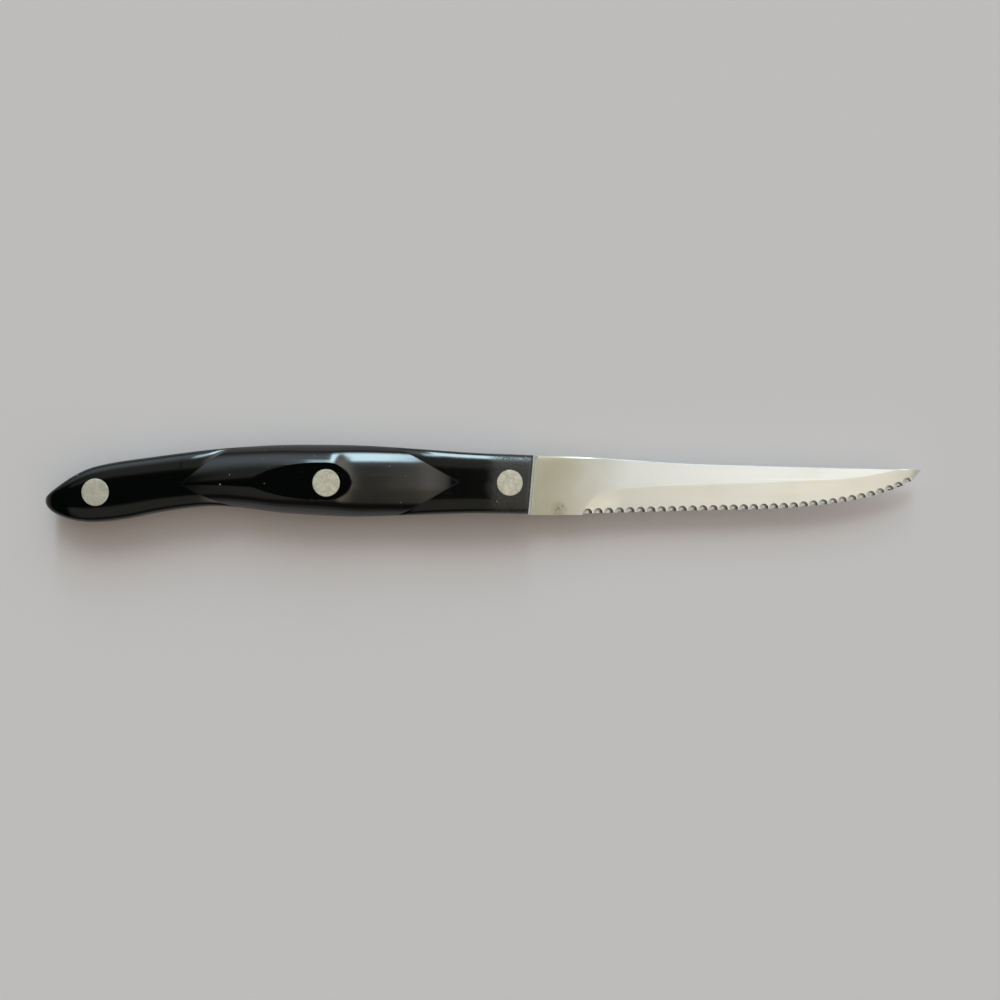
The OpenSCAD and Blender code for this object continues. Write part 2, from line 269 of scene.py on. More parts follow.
    def crest_z(self, x: Array) -> Array:
        """Height of the barrel's crest, which rises from a small step at both V points to its top."""
        rear = curve(self.rear_rise_shares, (x - self.rear_point) / (self.barrel_top - self.rear_point))
        front = curve(self.front_rise_shares,
                      (self.front_point_x - x) / (self.front_point_x - self.barrel_top))
        low = self.crease_step + np.where(x < self.barrel_top, self.rear_t, self.front_t)
        return self.tang_z + low + (self.barrel_t - low) * np.where(x < self.barrel_top, rear, front)

    def square(self, x: Array) -> Array:
        """Power of the barrel's section, easing from a rounded ridge at the rear V point to a flat top."""
        flattened = ease((x - self.rear_point) / self.ridge_run)
        return self.ridge_square + (self.arch_square - self.ridge_square) * flattened

    def foot(self, x: Array) -> Array:
        """Level at which the barrel's section is cut off."""
        return (1 - self.arch_share ** self.square(x)) ** (1 / self.square(x))

    def arch(self, x: Array, v: Array) -> Array:
        """The barrel's section: a superellipse cut off a little above its foot, from 1 on the crest to 0."""
        level = (1 - (self.arch_share * np.abs(v)) ** self.square(x)) ** (1 / self.square(x))
        return (level - self.foot(x)) / (1 - self.foot(x))

    def barrel(self, x: Array, v: Array) -> Array:
        """Height of the barrel: the wall plus the crest's rise times the arch."""
        return self.wall_z + (self.crest_z(x) - self.wall_z) * self.arch(x, v)

    def flat(self, v: Array) -> Array:
        """Section of the end plates: a superellipse."""
        return np.maximum(0, 1 - np.abs(v) ** self.plate_square) ** (1 / self.plate_square)

    def plate(self, x: Array, v: Array) -> Array:
        """Height of the end plates, rolled off at both ends and drawn down to a step below the barrel."""
        rear = self.wall_z + (self.tang_z + self.rear_t - self.wall_z) * round_off(x / self.butt_roll)
        front = (self.tang_z + self.front_t
                 - self.front_round * (1 - round_off((self.length - x) / self.front_round)))
        vee = np.minimum(self.vee(x), self.crease_high)
        step = self.crease_step * (1 - vee ** 2)
        drawn = self.wall_z + (self.barrel(x, vee) - step - self.wall_z) / self.flat(vee)
        top = np.where(vee > 0, drawn, np.where(x < self.barrel_top, rear, front))
        return self.wall_z + (top - self.wall_z) * self.flat(v)

    def face_z(self, x: Array, v: Array) -> Array:
        """Height of a scale's face: barrel inside the creases, plates outside, cut off by the land."""
        vee = self.vee(x)
        inside = (vee >= self.crease_high) | (np.abs(v) < vee)
        return np.minimum(self.land_z, np.where(inside, self.barrel(x, v), self.plate(x, v)))

    def face_at(self, x: Array, y: Array) -> Array:
        """Height of a scale's face at a point seen from above, found by undoing the lean and across."""
        x = self.upright(x, y)
        crest = self.crest(x)
        v = (y - crest) / np.where(y > crest, self.back(x) - crest, crest - self.belly(x))
        return self.face_z(x, np.clip(v, -1, 1))

    def land_half(self, x: Array) -> Array:
        """v at which the land cuts the barrel: the arch solved for the land's height."""
        rise = np.maximum(self.crest_z(x), self.land_z) - self.wall_z
        level = self.foot(x) + (1 - self.foot(x)) * (self.land_z - self.wall_z) / rise
        return np.maximum(0, 1 - level ** self.square(x)) ** (1 / self.square(x)) / self.arch_share

    def crease_line(self, x: Array) -> Array:
        """v of the mesh line that follows the creases and the land's edge, and opens beyond the V points."""
        sweep = self.sweep_share * self.rear_vee
        past_rear = (self.rear_point - x) / self.rear_vee
        past_front = (x - self.front_point_x) / self.front_vee
        past = np.maximum(past_rear, past_front)
        opened = self.crease_low + (self.crease_open - self.crease_low) * ease(past)
        from_rear = self.crease_high * ease(1 - (x - self.rear_point - self.rear_vee) / sweep)
        from_front = self.crease_high * ease(1 - (self.front_point_x - self.front_vee - x) / sweep)
        closed = np.maximum(self.land_half(x), np.maximum(from_rear, from_front))
        vee = self.vee(x)
        middle = np.maximum(self.crease_low, np.where(vee < self.crease_high, vee, closed))
        return np.where(past > 0, opened, middle)

    def stations(self, fine: int) -> Array:
        """Places along the handle, closer at the butt, the creases and the front edge.

        Args:
            fine: Steps in the shortest stretches, from which the others are counted.
        Returns:
            The places, in rising order.
        """
        turn = np.radians(np.linspace(self.butt_start, 90, fine, endpoint=False))
        return np.concatenate([
            self.butt_round * (1 - np.cos(turn)), [self.butt_round],
            run(self.butt_round, self.rear_point, fine),
            run(self.rear_point, self.rear_point + self.rear_vee, fine, 2),
            run(self.rear_point + self.rear_vee, self.front_point_x - self.front_vee, 3 * fine),
            run(self.front_point_x - self.front_vee, self.front_point_x, fine, -2),
            run(self.front_point_x, self.length - self.front_round, fine),
            run(self.length - self.front_round, self.length, fine // 4, -2)])


@dataclass(frozen=True)
class Seat:
    """Where the knife lies: its middle over the origin and its lower land on the floor, in metres."""

    mid_x: float
    mid_y: float
    land_z: float

    def metres(self, points: Array) -> Array:
        """Points in the frame: shifted to the seat, turned to metres and kept inside the CAD model's box."""
        return np.clip((points + np.array([-self.mid_x, -self.mid_y, self.land_z])) * MM, *CAD_BOX)


@dataclass
class Skin:
    """Points and four-sided faces of one piece, gathered as whole arrays."""

    points: list[Array] = field(default_factory=list)
    faces: list[Array] = field(default_factory=list)
    creases: list[Array] = field(default_factory=list)
    count: int = 0

    def add(self, points: Array) -> Array:
        """Adds points of any grid shape and returns their numbers in the same shape."""
        shape = points.shape[:-1]
        self.points.append(points.reshape(-1, 3))
        first = self.count
        self.count += len(self.points[-1])
        return np.arange(first, self.count).reshape(shape)

    def join(self, a: Array, b: Array, keep: Array | None = None) -> None:
        """Faces between two rows of numbers, or two stacks of rows, that face to the left of a then b.

        Args:
            a: Numbers along the first row.
            b: Numbers along the second row, in the same order.
            keep: Which of the faces to keep, all by default.
        """
        quads = np.stack([a[..., :-1], a[..., 1:], b[..., 1:], b[..., :-1]], -1)
        self.faces.append(quads.reshape(-1, 4) if keep is None else quads[keep])

    def sheet(self, grid: Array, up: bool, keep: Array | None = None) -> None:
        """Faces of a whole grid of numbers, which runs along x and then along y, facing up or down."""
        rows = grid.swapaxes(0, 1)
        kept = None if keep is None else keep.T
        self.join(*((rows[:-1], rows[1:]) if up else (rows[1:], rows[:-1])), kept)

    def bore(self, top: Array, rings: list[Array], bottom: Array) -> None:
        """A hole from a loop of numbers on the upper sheet, through rings of points, to a loop below."""
        loops = [top, *(self.add(ring) for ring in rings), bottom]
        for outer, inner in zip(loops, loops[1:]):
            self.join(np.append(outer, outer[:1]), np.append(inner, inner[:1]))

    def object(self, name: str, seat: Seat, side: Side, sharp_deg: float) -> Object:
        """The finished mesh object, at the origin with its place in its mesh.

        Args:
            name: Name of the piece.
            seat: Where the knife lies.
            side: LEFT mirrors the piece through the blade's middle plane and turns its faces round.
            sharp_deg: Angle above which an edge between two faces is shaded sharp.
        Returns:
            The object, linked into the scene.
        """
        points = np.concatenate(self.points) * [1, 1, side.value]
        faces = np.concatenate(self.faces)
        mesh = bpy.data.meshes.new(name)
        mesh.from_pydata(seat.metres(points), [], faces if side is Side.RIGHT else faces[:, ::-1])
        mesh.attributes.new("crease", "BOOLEAN", "POINT")
        lines = np.zeros(self.count, bool)
        lines[np.concatenate([*self.creases, np.zeros(0, int)]).astype(int)] = True
        mesh.attributes["crease"].data.foreach_set("value", lines)
        welded = bmesh.new()
        welded.from_mesh(mesh)
        bmesh.ops.remove_doubles(welded, verts=welded.verts, dist=WELD)
        bmesh.ops.dissolve_degenerate(welded, edges=welded.edges, dist=WELD)
        welded.to_mesh(mesh)
        welded.free()
        mesh.shade_smooth()
        mesh.set_sharp_from_angle(angle=math.radians(sharp_deg))
        self.sharpen(mesh)
        piece = bpy.data.objects.new(name, mesh)
        bpy.context.scene.collection.objects.link(piece)
        return piece

    @staticmethod
    def sharpen(mesh: Mesh) -> None:
        """Shades sharp every edge whose two ends both lie on a crease line, then drops the marks."""
        marks = np.zeros(len(mesh.vertices), bool)
        mesh.attributes["crease"].data.foreach_get("value", marks)
        ends = np.zeros(len(mesh.edges) * 2, int)
        mesh.edges.foreach_get("vertices", ends)
        sharp = np.zeros(len(mesh.edges), bool)
        mesh.edges.foreach_get("use_edge_sharp", sharp)
        mesh.edges.foreach_set("use_edge_sharp", sharp | marks[ends.reshape(-1, 2)].all(1))
        mesh.attributes.remove(mesh.attributes["crease"])


@dataclass(frozen=True)
class Window:
    """A block of grid cells that gives way to a round hole."""

    first: tuple[int, int]
    last: tuple[int, int]

    @classmethod
    def around(cls, x: Array, y: Array, centre: Array, reach: float) -> "Window":
        """The smallest block that keeps its whole rim at least reach from the centre.

        Args:
            x: Grid of x, which runs along the first axis.
            y: Grid of y, which runs along the second axis.
            centre: Middle of the hole, seen from above.
            reach: Least distance from the centre to the rim.
        Returns:
            The block.
        """
        column = np.argmin(np.abs(y[np.argmin(np.abs(x[:, 0] - centre[0]))] - centre[1]))
        i0 = np.flatnonzero(x[:, column] <= centre[0] - reach)[-1]
        i1 = np.flatnonzero(x[:, column] >= centre[0] + reach)[0]
        j0 = np.flatnonzero((y[i0:i1 + 1] <= centre[1] - reach).all(0))[-1]
        j1 = np.flatnonzero((y[i0:i1 + 1] >= centre[1] + reach).all(0))[0]
        return cls((i0, j0), (i1, j1))

    def loop(self, grid: Array) -> Array:
        """The rim of the block in a grid of numbers or points, once round against the clock."""
        (i0, j0), (i1, j1) = self.first, self.last
        return np.concatenate([grid[i0:i1, j0], grid[i1, j0:j1], grid[i1:i0:-1, j1], grid[i0, j1:j0:-1]])

    def clear(self, keep: Array) -> None:
        """Marks the block's cells as left out of a sheet."""
        keep[self.first[0]:self.last[0], self.first[1]:self.last[1]] = False


def circle_under(loop: Array, centre: Array, radius: float) -> Array:
    """Points on a circle, in the same directions from its centre as a loop's points, seen from above."""
    away = loop[:, :2] - centre
    return centre + radius * away / np.linalg.norm(away, axis=1, keepdims=True)


def at_height(plan: Array, z: Array | float) -> Array:
    """Points seen from above, given a height."""
    return np.concatenate([plan, np.broadcast_to(np.asarray(z, float)[..., None], (*plan.shape[:-1], 1))], -1)


@dataclass(frozen=True)
class Rivet:
    """One two-piece cutler's rivet, ground flush with the scales."""

    form: HandleForm
    place: RivetPlace
    x: float
    head_d: float
    tube_d: float = 4.2
    pin_d: float = 2.8
    seat_t: float = 2.0
    gap: float = 0.05
    end_gap: float = 0.4
    rim: float = 0.14
    segments: int = 96
    face_steps: int = 10
    sharp_deg: float = 35.0

    @property
    def centre(self) -> Array:
        """Middle of the rivet seen from above, on the handle's crest line."""
        return np.array([self.x, float(self.form.crest(np.array(self.x)))])

    @property
    def seat_z(self) -> float:
        """Height of the counterbore's floor, on which the head sits."""
        return self.form.tang_z + self.seat_t

    def shank(self, half: RivetHalf) -> list[tuple[float, float]]:
        """Profile under the head, as radius and height: a plain pin, or a tube with a blind bore."""
        seat, end = self.seat_z, self.end_gap - self.seat_z
        if half is RivetHalf.PIN:
            return [(self.pin_d / 2, seat), (self.pin_d / 2, end), (0, end)]
        bore = self.pin_d / 2 + self.gap
        return [(self.tube_d / 2, seat), (self.tube_d / 2, end), (bore, end), (bore, seat), (0, seat)]

    def build(self, half: RivetHalf, seat: Seat) -> Object:
        """One half of the rivet: a profile turned about the rivet's axis.

        Each point is the centre plus a radius along its direction. The head's face takes its height from the
        scale's own face, so it is ground flush, and falls by a quarter circle over its narrow rim.

        Args:
            half: Which half is made.
            seat: Where the knife lies.
        Returns:
            The piece.
        """
        radius = self.head_d / 2
        flat = (radius - self.rim) * np.linspace(0, 1, self.face_steps)
        turn = np.radians(np.linspace(0, 90, self.face_steps // 2 + 1))[1:]
        head = np.concatenate([flat, radius - self.rim * (1 - np.sin(turn))])
        drop = np.concatenate([0 * flat, self.rim * (1 - np.cos(turn))]) / 2
        under = np.array([(radius, self.seat_z), *self.shank(half)])
        angle = np.linspace(0, 2 * np.pi, self.segments + 1)
        spoke = np.stack([np.cos(angle), np.sin(angle)], -1)
        plan = self.centre + np.concatenate([head, under[:, 0]])[:, None, None] * spoke
        top = self.form.face_at(plan[:len(head), :, 0], plan[:len(head), :, 1]) - drop[:, None]
        heights = np.concatenate([top, np.repeat(under[:, 1:], len(angle), 1)])
        skin = Skin()
        rings = skin.add(at_height(plan, heights))
        skin.join(rings[1:], rings[:-1])
        return skin.object(f"rivet_{self.place.value}_{half.name.lower()}", seat, half.value, self.sharp_deg)


@dataclass(frozen=True)
class Scale:
    """One moulded handle half, from the tang's face up, with a counterbored hole for each rivet."""

    form: HandleForm
    side: Side
    fine: int = 32
    inner: int = 24
    outer: int = 18
    collar: float = 0.2
    collar_steps: int = 10
    sharp_deg: float = 14.0

    def widths(self, line: Array, lip: Array) -> Array:
        """v across the scale, crowded by a cosine towards the crease line and towards the edges.

        Args:
            line: v of the crease line at each station, where the step down from the barrel ends.
            lip: v of the line on which that step begins.
        Returns:
            v at each station, from -1 to 1.
        """
        line, lip = line[:, None], lip[:, None]
        out = np.cos(np.radians(90) * np.arange(self.outer) / self.outer)
        inside = np.cos(np.radians(90) * np.arange(self.inner) / self.inner)
        half = np.concatenate([line + (1 - line) * out, line, lip * inside], 1)
        return np.concatenate([-half, np.zeros((len(line), 1)), half[:, ::-1]], 1)

    def build(self, rivets: tuple[Rivet, ...], seat: Seat) -> Object:
        """The scale: the handle's face over a flat sheet on the tang, joined by walls and rivet holes.

        Both sheets are grids of x and v. The upper one takes its height from face_z, and each hole is a ring
        of points that closes from a block of the grid to a circle, goes down to the seat and through.

        Args:
            rivets: The rivets that go through the scale.
            seat: Where the knife lies.
        Returns:
            The piece.
        """
        form = self.form
        x = form.stations(self.fine)[:, None]
        line = form.crease_line(x[:, 0])
        lip = np.maximum(line - 2 * form.crease_run / form.height, line / 2)
        v = self.widths(line, lip)
        y = form.across(x, v)
        plan = np.stack([x + form.lean(x, y), y], -1)
        skin = Skin()
        face = at_height(plan, form.face_z(x, v))
        top = skin.add(face)
        bottom = skin.add(at_height(plan, form.tang_z))
        keep = np.ones((top.shape[0] - 1, top.shape[1] - 1), bool)
        for rivet in rivets:
            self.drill(skin, rivet, plan, top, bottom, keep)
        skin.sheet(top, True, keep)
        skin.sheet(bottom, False, keep)
        skin.join(bottom[:, 0], top[:, 0])
        skin.join(top[:, -1], bottom[:, -1])
        skin.join(top[0], bottom[0])
        skin.join(bottom[-1], top[-1])
        arms = (form.vee(x[:, 0]) > form.crease_low) & (form.vee(x[:, 0]) < form.crease_high)
        skin.creases += [top[arms, self.outer], top[arms, -1 - self.outer]]
        return skin.object(f"scale_{self.side.name.lower()}", seat, self.side, self.sharp_deg)

    def drill(self, skin: Skin, rivet: Rivet, plan: Array, top: Array, bottom: Array, keep: Array) -> None:
        """Cuts one rivet's counterbored hole through both sheets.

        Args:
            skin: The scale's skin.
            rivet: The rivet that the hole takes.
            plan: The grid of both sheets, seen from above.
            top: Numbers of the upper sheet's points.
            bottom: Numbers of the lower sheet's points.
            keep: Which cells of the sheets stay, in which the hole's block is cleared.
        """
        centre, seat = rivet.centre, rivet.seat_z
        head, shank = rivet.head_d / 2 + rivet.gap, rivet.tube_d / 2 + rivet.gap
        window = Window.around(plan[..., 0], plan[..., 1], centre, head + self.collar)
        window.clear(keep)
        loop = window.loop(plan)
        rim, core = circle_under(loop, centre, head), circle_under(loop, centre, shank)
        closing = [loop + (rim - loop) * k / self.collar_steps for k in range(1, self.collar_steps + 1)]
        rings = [at_height(ring, self.form.face_at(ring[:, 0], ring[:, 1])) for ring in closing]
        rings += [at_height(rim, seat), at_height(core, seat), at_height(core, self.form.tang_z)]
        skin.bore(window.loop(top), rings, window.loop(bottom))


@dataclass(frozen=True)
class Blade:
    """Blade, heel and full tang in one piece of steel, with scallops ground into the right of its edge."""

    form: HandleForm
    length: float = 96.3
    face_relief: float = 0.08
    shoulder: float = 0.7
    heel_len: float = 12.6
    heel_drop: float = 0.3
    heel_step: float = 0.35
    spine_drop: float = 3.5
    edge_t: float = 0.3
    plunge: float = 14.0
    plunge_lead: float = 4.0
    spine_break: float = 0.9
    break_depth: float = 0.12
    break_run: float = 17.0
    break_end: float = 0.18
    pitch: float = 2.6
    tip_pitch: float = 2.36
    lead_share: float = 0.58
    scallop_r: float = 2.0
    scallop_depth: float = 0.36
    tip_land: float = 1.6
    bevel_lift: float = 0.15
    corner: float = 0.05
    burr: float = 0.03
    burr_run: float = 0.15
    step_run: float = 0.45
    hair: float = 0.02
    spine_shares: Table = (
        (0, 0), (0.13, 0.12), (0.28, 0.37), (0.35, 0.52), (0.46, 0.64), (0.6, 0.75), (0.77, 0.87), (1, 1))
    edge_shares: Table = (
        (0, 0), (0.3, 0.062), (0.58, 0.12), (0.68, 0.18), (0.77, 0.268), (0.85, 0.392), (0.92, 0.56),
        (0.97, 0.74), (1, 1))
    grind_shares: Table = (
        (0, 0.29), (0.055, 0.385), (0.158, 0.443), (0.34, 0.498), (0.52, 0.526), (0.675, 0.573),
        (0.755, 0.59), (0.81, 0.62), (0.876, 0.687), (0.93, 0.755), (1, 0.85))
    tang_steps: int = 10
    heel_steps: int = 14
    scallop_steps: int = 16
    tip_steps: int = 8
    floor_rows: int = 6
    land_rows: int = 4
    bevel_rows: int = 8
    flat_rows: int = 8
    slope_step: float = 0.1
    edge_band: float = 0.4
    tip_band_share: float = 0.7
    cut_share: float = 0.5
    rim_share: float = 0.8
    break_share: float = 0.5
    clear_share: float = 0.1
    settle_steps: int = 8
    sharp_deg: float = 25.0

    @property
    def tip_x(self) -> float:
        """x of the tip."""
        return self.form.length + self.length

    @property
    def heel_x(self) -> float:
        """x at which the plain heel ends."""
        return self.form.length + self.heel_len

    @property
    def face_half(self) -> float:
        """Half the thickness of the ground blade."""
        return self.form.tang_z - self.face_relief

    def spine(self, x: Array) -> Array:
        """y of the spine, which falls from the handle's back by the spine table."""
        start = self.form.back(np.array(self.form.length))
        return start - self.spine_drop * curve(self.spine_shares, (x - self.form.length) / self.length)

    @property
    def heel_y(self) -> float:
        """y of the heel's lower edge."""
        return float(self.form.belly(np.array(self.form.length))) - self.heel_drop

    def edge_share(self, x: Array) -> Array:
        """Share of the way from the heel to the tip."""
        return (x - self.heel_x) / (self.tip_x - self.heel_x)

    def edge(self, x: Array) -> Array:
        """y of the edge before it is fluted, which rises to the tip by the edge table."""
        start = self.heel_y + self.heel_step
        tip = self.spine(np.array(self.tip_x))
        return start + (tip - start) * curve(self.edge_shares, self.edge_share(x))

    def slope(self, x: Array) -> Array:
        """Angle of the edge, from the chord of a short step to both sides."""
        rise = self.edge(x + self.slope_step) - self.edge(x - self.slope_step)
        return np.arctan2(rise, 2 * self.slope_step)

    def grind(self, x: Array) -> Array:
        """y of the grind line, as shares of the height at the heel."""
        start = self.heel_y + self.heel_step
        height = self.form.back(np.array(self.form.length)) - start
        return start + height * curve(self.grind_shares, self.edge_share(x))

    def break_width(self, x: Array) -> Array:
        """Width of the broken spine edge, which eases down to a narrow one over its run."""
        return self.spine_break * (1 - (1 - self.break_end) * ease((x - self.form.length) / self.break_run))

    def run_in(self, x: Array) -> Array:
        """How far the bevel still is from its full depth: 1 before the plunge, easing to 0 at its end."""
        return 1 - ease((x - self.heel_x + self.plunge_lead) / self.plunge)

    def edge_half(self, x: Array) -> Array:
        """Half thickness of the edge, which swells to just over the full face before the plunge."""
        swell = self.face_half + self.bevel_lift - self.edge_t / 2
        return self.edge_t / 2 + swell * self.run_in(x)

    def half_z(self, x: Array, y: Array) -> Array:
        """Half thickness before the scallops: the least of the flat face, the bevel and the spine's break.

        The bevel is a straight line from the grind line to the edge. Over the plunge both of its ends sink
        from just above the face, so that it runs in softly.
        """
        face = self.face_half
        grind, edge = self.grind(x), self.edge(x)
        inner, outer = face + self.bevel_lift * self.run_in(x), self.edge_half(x)
        bevel = inner + (outer - inner) * (grind - y) / (grind - edge)
        width = self.break_width(x)
        broken = face - self.break_depth * (y - self.spine(x) + width) / width
        return np.maximum(np.minimum(face, np.minimum(bevel, broken)), self.edge_t / 2)

    def scallops(self) -> Array:
        """x of each scallop's middle: steps along the edge whose pitch eases from the heel's to the tip's."""
        places = [self.heel_x + self.lead_share * self.pitch]
        while places[-1] <= self.tip_x - self.tip_land:
            last = np.array(places[-1])
            pitch = self.pitch + (self.tip_pitch - self.pitch) * ease(self.edge_share(last))
            places.append(places[-1] + float(pitch * np.cos(self.slope(last))))
        return np.array(places[:-1])

    def ball_z(self, middles: Array) -> Array:
        """Height of the ball's middle over each scallop, which sinks it to its depth below the bevel."""
        return self.edge_half(middles) + self.scallop_r - self.scallop_depth

    def ball_room(self, x: Array, y: Array, middles: Array) -> tuple[Array, Array]:
        """Where points lie in the frame of their scallop.

        Args:
            x: x of the points.
            y: y of the points.
            middles: x of each point's scallop.
        Returns:
            The ball's radius squared less the square of the offset along the edge, and the distance in from
            the uncut edge.
        """
        angle = self.slope(middles)
        dx, dy = x - middles, y - self.edge(middles)
        offset = dx * np.cos(angle) + dy * np.sin(angle)
        return self.scallop_r ** 2 - offset ** 2, dy * np.cos(angle) - dx * np.sin(angle)

    def cut_z(self, x: Array, y: Array, middles: Array) -> Array:
        """Height of the right face after the scallops: the lower side of a ball where it dips under."""
        room, depth = self.ball_room(x, y, middles)
        floor = self.ball_z(middles) - np.sqrt(np.maximum(0, room - depth ** 2))
        half = self.half_z(x, y)
        return np.clip(floor, -half, half)

    def reach(self, x: Array, middles: Array, level: int) -> Array:
        """How far a scallop reaches in from the edge, on the line square to the edge at x.

        The ball is solved for the blade's right face (level 1) or left face (level -1): the distance in is
        the root of the room left by the offset and by the face's height below the ball's middle. It is
        worked out again from each new place, because the face slopes.
        """
        angle, y = self.slope(x), self.edge(x)
        n = np.zeros_like(x)
        for _ in range(self.settle_steps):
            px, py = x - n * np.sin(angle), y + n * np.cos(angle)
            room, _depth = self.ball_room(px, py, middles)
            below = self.ball_z(middles) - level * self.half_z(px, py)
            n = np.sqrt(np.maximum(0, room - below ** 2))
        return n

    def edge_columns(self) -> tuple[Array, Array]:
        """Places along the edge and the scallop that each belongs to.

        Each scallop has columns at the sine of even angles, crowded towards its sides, and a cusp column
        half way to the one before. Even steps then lead to the tip.

        Returns:
            x of the columns, and x of each one's scallop.
        """
        middles = self.scallops()
        turn = np.radians(np.linspace(-90, 90, self.scallop_steps + 1))
        half_width = math.sqrt(self.scallop_r ** 2 - (self.scallop_r - self.scallop_depth) ** 2)
        sides = middles[:, None] + half_width * np.sin(turn) * np.cos(self.slope(middles))[:, None]
        gaps = np.diff(middles)
        cusps = middles - np.append(gaps[0], gaps) / 2
        x = np.concatenate([cusps[:, None], sides], 1)
        owner = np.broadcast_to(middles[:, None], x.shape)
        tip = run(float(x[-1, -1]), self.tip_x, self.tip_steps)
        return np.append(x, tip), np.append(owner, np.full(len(tip), middles[-1]))

    def edge_plan(self) -> tuple[Array, Array, Array]:
        """The scalloped part of the blade, seen from above.

        Every column starts on the scalloped edge and runs square to it past the scallop, then straight up to
        the grind line, the spine's edge break and the spine.

        Returns:
            Grids of x and y, and x of each column's scallop.
        """
        x, middles = self.edge_columns()
        low = self.reach(x, middles, -1)
        high = np.maximum(self.reach(x, middles, 1), low + self.hair)
        angle, foot = self.slope(x), self.edge(x)
        room = self.tip_band_share * (self.spine(x) - foot) * np.cos(angle)
        band = np.minimum(high.max() + self.edge_band, room)
        low, high = np.minimum(low, self.cut_share * room), np.minimum(high, self.rim_share * room)
        floor = np.linspace(0, 1, self.floor_rows + 1)
        land = np.linspace(0, 1, self.land_rows + 1)[1:]
        n = np.concatenate([low[:, None] + (high - low)[:, None] * floor,
                            high[:, None] + (band - high)[:, None] * land], 1)
        near_x, near_y = x[:, None] - n * np.sin(angle)[:, None], foot[:, None] + n * np.cos(angle)[:, None]
        up, start = near_x[:, -1], near_y[:, -1]
        spine = self.spine(up)
        width = np.minimum(self.break_width(up), self.break_share * (spine - start))
        clear = self.clear_share * (spine - width - start)
        grind = np.clip(self.grind(up), start + clear, spine - width - clear)
        rise = np.linspace(0, 1, self.bevel_rows + 1)[1:]
        flat = np.linspace(0, 1, self.flat_rows + 1)[1:]
        y = np.concatenate([near_y, start[:, None] + (grind - start)[:, None] * rise,
                            grind[:, None] + (spine - width - grind)[:, None] * flat, spine[:, None]], 1)
        tail = np.broadcast_to(up[:, None], (len(up), y.shape[1] - near_x.shape[1]))
        return np.concatenate([near_x, tail], 1), y, middles

    @property
    def grind_row(self) -> int:
        """Row of the grid that follows the grind line."""
        return self.floor_rows + self.land_rows + self.bevel_rows

    def build(self, rivets: tuple[Rivet, ...], seat: Seat) -> Object:
        """The whole blade: a right and a left sheet on one grid, joined round the outline.

        The grid runs along the tang, over the shoulder and the heel, and along the fluted edge to the tip.
        Heights are the stock's half thickness on the tang, with a low burr along the shoulder's front, then
        half_z and cut_z.

        Args:
            rivets: The rivets that go through the tang.
            seat: Where the knife lies.
        Returns:
            The piece.
        """
        form = self.form
        edge_x, edge_y, middles = self.edge_plan()
        rows = np.linspace(0, 1, edge_x.shape[1])
        tang = form.stations(self.tang_steps)[:, None]
        tang_y = form.belly(tang) + (form.back(tang) - form.belly(tang)) * rows
        heel_y = self.heel_y
        front_y = heel_y + (form.back(np.array(form.length)) - heel_y) * rows
        lip = np.array([[self.corner, 0], [self.shoulder - self.burr_run, 0], [self.shoulder, self.burr]])
        front_x = form.front_x(front_y) + lip[:, :1]
        share = np.linspace(0, 1, self.heel_steps)[:, None]
        first_y = np.append(heel_y, edge_y[0, 1:])
        heel_x = ((form.front_x(front_y) + self.shoulder + self.step_run) * (1 - share)
                  + (self.heel_x - self.corner) * share)
        lower = front_y * (1 - share) + first_y * share
        under = (self.spine(heel_x) - heel_y) / (lower[:, -1:] - heel_y)
        heel_rows = heel_y + (lower - heel_y) * under
        x = np.concatenate([tang + form.lean(tang, tang_y), front_x, heel_x, edge_x])
        y = np.concatenate([tang_y, np.broadcast_to(front_y, front_x.shape), heel_rows, edge_y])
        stock = len(tang) + len(lip)
        half = np.concatenate([np.full(tang_y.shape, form.tang_z),
                               np.broadcast_to(form.tang_z + lip[:, 1:], front_x.shape),
                               self.half_z(x[stock:], y[stock:])])
        right_z = half.copy()
        right_z[-len(edge_x):] = self.cut_z(edge_x, edge_y, middles[:, None])
        plan = np.stack([x, y], -1)
        skin = Skin()
        right, left = skin.add(at_height(plan, right_z)), skin.add(at_height(plan, -half))
        keep = np.ones((right.shape[0] - 1, right.shape[1] - 1), bool)
        for rivet in rivets:
            radius = rivet.tube_d / 2 + rivet.gap
            window = Window.around(x, y, rivet.centre, radius + self.edge_band)
            window.clear(keep)
            circle = circle_under(window.loop(plan), rivet.centre, radius)
            rings = [at_height(circle, form.tang_z), at_height(circle, -form.tang_z)]
            skin.bore(window.loop(right), rings, window.loop(left))
        skin.sheet(right, True, keep)
        skin.sheet(left, False, keep)
        skin.join(left[:, 0], right[:, 0])
        skin.join(right[:, -1], left[:, -1])
        skin.join(right[0], left[0])
        ground = x[:, 0] > self.heel_x + self.plunge - self.plunge_lead
        for face in (right, left):
            shoulder = face[stock - 1:stock + 1].ravel()
            skin.creases += [face[ground, self.grind_row], face[stock:, -2], shoulder]
        skin.creases.append(right[-len(edge_x):, self.floor_rows])
        return skin.object("knife_blade", seat, Side.RIGHT, self.sharp_deg)


def linear(colour: str) -> tuple[float, float, float, float]:
    """Linear RGBA of an sRGB hex colour: the straight foot below 0.04045, the 2.4 power above it."""
    parts = np.array([int(colour[i:i + 2], 16) for i in (1, 3, 5)]) / 255
    r, g, b = np.where(parts <= 0.04045, parts / 12.92, ((parts + 0.055) / 1.055) ** 2.4)
    return float(r), float(g), float(b), 1.0


def per_mm(size: float) -> float:
    """Texture scale at which a pattern's features are about this many millimetres wide."""
    return 1 / (size * MM)


